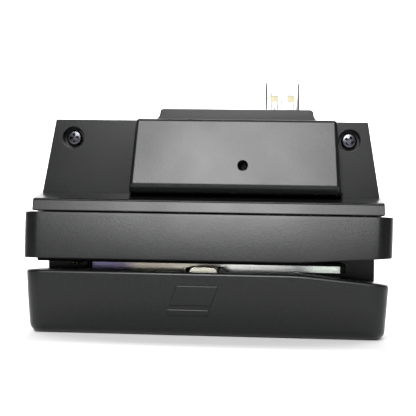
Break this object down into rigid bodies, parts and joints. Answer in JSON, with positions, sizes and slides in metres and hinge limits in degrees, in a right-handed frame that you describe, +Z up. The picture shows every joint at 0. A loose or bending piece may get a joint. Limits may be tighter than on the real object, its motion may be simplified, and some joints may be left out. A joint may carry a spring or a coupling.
{
  "type": "card swipe reader module",
  "caption": "Edge-mounted magnetic-stripe card reader: flanged housing over two wings with a swipe slot between them, sprung read head inside, rigid USB plug on top.",
  "frame": {"origin": "centre of the bounding box's underside, on the plane the module stands on", "axes": "+X along the swipe slot towards its flared end, -Y towards the person who swipes, +Z up towards the plug"},
  "size_m": [0.1246, 0.032, 0.088],
  "materials": {
    "case_black": "fine spark-eroded satin grain",
    "inner_black": "smooth satin",
    "screw_black": "black zinc plated",
    "screw_zinc": "zinc plated",
    "nickel": "bright nickel plated",
    "polished_steel": "polished",
    "spring_steel": "rolled",
    "gold_contact": "gold plated",
    "cream_plastic": "moulded",
    "board_green": "solder mask",
    "chip_black": "moulded",
    "cable_grey": "ribbon insulation",
    "head_metal": "lapped shielding metal"
  },
  "bodies": {
    "case": {"lower_wing": "case_black", "bottom_cover": "case_black", "cover_screw_1": "screw_zinc", "cover_screw_2": "screw_zinc", "cover_screw_3": "screw_zinc", "cover_screw_4": "screw_zinc", "upper_wing": "case_black", "slot_rail": "inner_black", "upper_guide": "inner_black", "wear_strip": "polished_steel", "contact_block": "inner_black", "mount_housing": "case_black", "rear_plate": "case_black", "plate_screw_1": "screw_zinc", "plate_screw_2": "screw_zinc", "flange_screw_left": "screw_black", "flange_screw_right": "screw_black", "block_screw": "screw_black", "stack_screw_left": "screw_zinc", "stack_screw_right": "screw_zinc", "usb_shell": "nickel", "usb_insulator": "cream_plastic", "usb_contact_1": "gold_contact", "usb_contact_2": "gold_contact", "usb_contact_3": "gold_contact", "usb_contact_4": "gold_contact", "decoder_board": "board_green", "decoder_chip": "chip_black", "crystal": "nickel", "head_connector": "cream_plastic", "capacitor_1": "chip_black", "capacitor_2": "chip_black", "head_cable": "cable_grey", "leaf_spring": "spring_steel", "spring_screw_left": "screw_zinc", "spring_screw_right": "screw_zinc"},
    "head_carrier": {"head_bracket": "spring_steel", "head_shroud": "inner_black"},
    "head": {"head_can": "head_metal", "head_core": "polished_steel"},
    "first_pin": {"sense_pin_1": "gold_contact"},
    "second_pin": {"sense_pin_2": "gold_contact"},
    "third_pin": {"sense_pin_3": "gold_contact"}
  },
  "joints": [
    {"name": "head_float", "type": "slide", "parent": "case", "child": "head_carrier", "axis": [0, 0, 1], "range_m": [-0.0012, 0], "stiffness_N_per_m": 1000, "springref_m": 0.001, "deforming": ["leaf_spring", "head_cable"]},
    {"name": "head_rock", "type": "hinge", "parent": "head_carrier", "child": "head", "pos_m": [-0.001, -0.002, 0.0165], "axis": [0, 1, 0], "range_deg": [-2.5, 2.5], "stiffness_Nm_per_rad": 0.03},
    {"name": "first_pin_press", "type": "slide", "parent": "case", "child": "first_pin", "axis": [0, 1, 0], "range_m": [0, 0.0007], "stiffness_N_per_m": 150, "springref_m": -0.0004},
    {"name": "second_pin_press", "type": "slide", "parent": "case", "child": "second_pin", "axis": [0, 1, 0], "range_m": [0, 0.0007], "stiffness_N_per_m": 150, "springref_m": -0.0004},
    {"name": "third_pin_press", "type": "slide", "parent": "case", "child": "third_pin", "axis": [0, 1, 0], "range_m": [0, 0.0007], "stiffness_N_per_m": 150, "springref_m": -0.0004}
  ]
}
